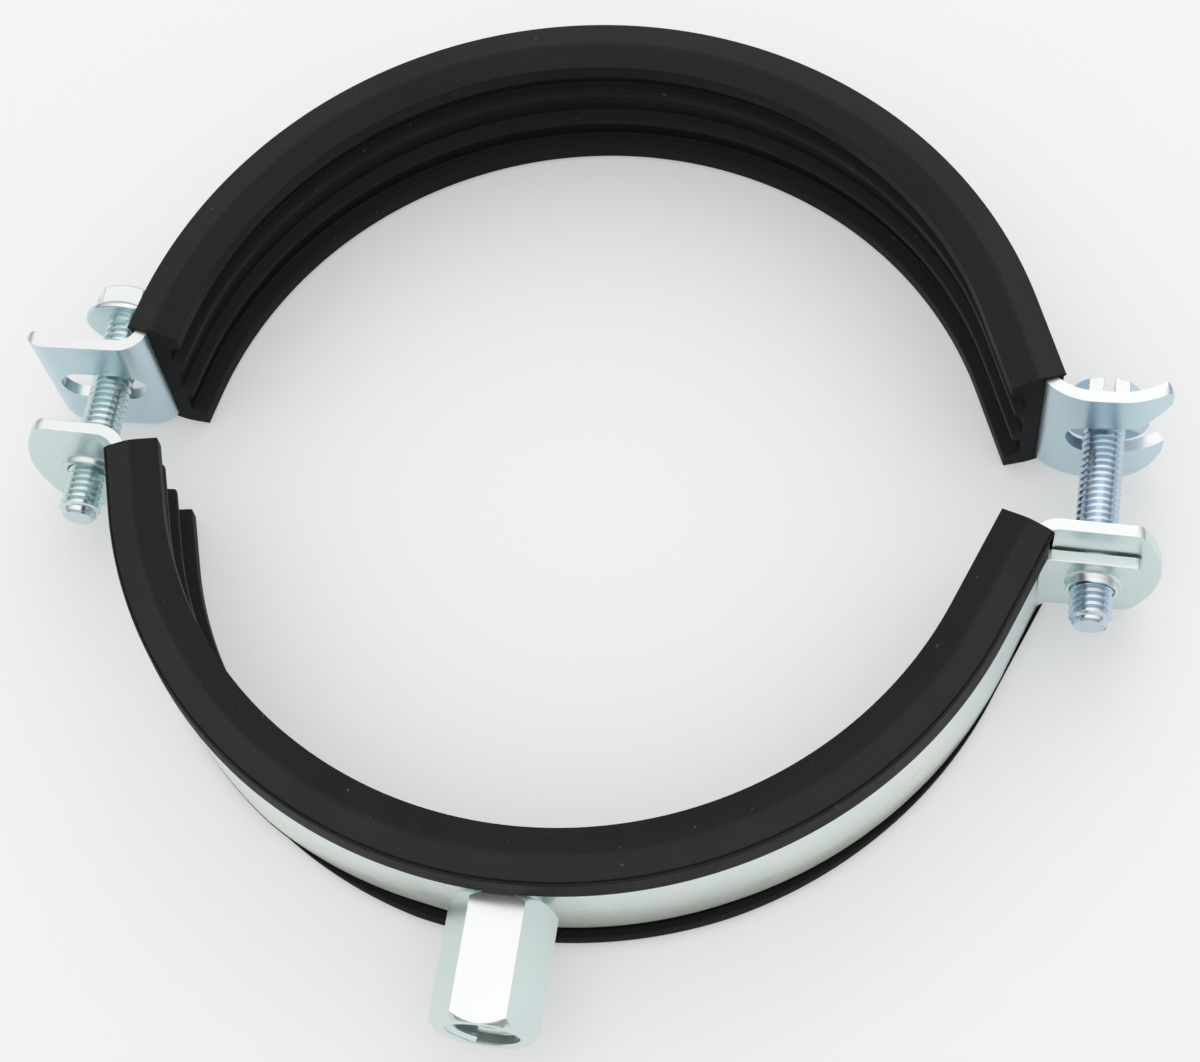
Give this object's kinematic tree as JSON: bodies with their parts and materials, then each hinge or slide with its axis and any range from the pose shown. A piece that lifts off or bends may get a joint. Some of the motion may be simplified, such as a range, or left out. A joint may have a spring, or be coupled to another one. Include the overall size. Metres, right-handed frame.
{
  "type": "rubber lined pipe clamp",
  "caption": "Round pipe clamp: a bent steel strip in rubber on each half, hexagonal screws through the ears and a long hexagonal nut on the outside of one half.",
  "frame": {"origin": "centre of the lower half's ring, at the base on which the clamp lies", "axes": "+Z along the pipe's axis, +X towards the ear with the nut plate, -Y towards the connection nut, +Y towards the upper half and the screw heads"},
  "size_m": [0.1652, 0.1523, 0.0255],
  "materials": {
    "zinc_strip": "bright zinc plated steel strip",
    "zinc_nut": "bright zinc plated steel bar",
    "zinc_screw": "bright zinc plated steel screw",
    "rubber": "matt moulded rubber"
  },
  "bodies": {
    "lower_half": {"lower_band": "zinc_strip", "lower_liner": "rubber", "connection_nut": "zinc_nut", "nut_plate": "zinc_strip"},
    "upper_half": {"upper_band": "zinc_strip", "upper_liner": "rubber"},
    "left_screw": {"left_screw": "zinc_screw"},
    "right_screw": {"right_screw": "zinc_screw"}
  },
  "joints": [
    {"name": "upper_half_travel", "type": "slide", "parent": "lower_half", "child": "upper_half", "axis": [0, 1, 0], "range_m": [-0.011, 0.007]},
    {"name": "left_screw_turn", "type": "hinge", "parent": "upper_half", "child": "left_screw", "pos_m": [-0.0718, 0, 0.01275], "axis": [0, 1, 0], "range_deg": [-3960.5, 2520.5]},
    {"name": "right_screw_turn", "type": "hinge", "parent": "upper_half", "child": "right_screw", "pos_m": [0.07365, 0, 0.01275], "axis": [0, 1, 0], "range_deg": [-3960.5, 2520.5]}
  ],
  "couplings": [
    {"joint": "left_screw_turn", "follows": "upper_half_travel", "rad_per_m": 6283.2},
    {"joint": "right_screw_turn", "follows": "upper_half_travel", "rad_per_m": 6283.2}
  ]
}
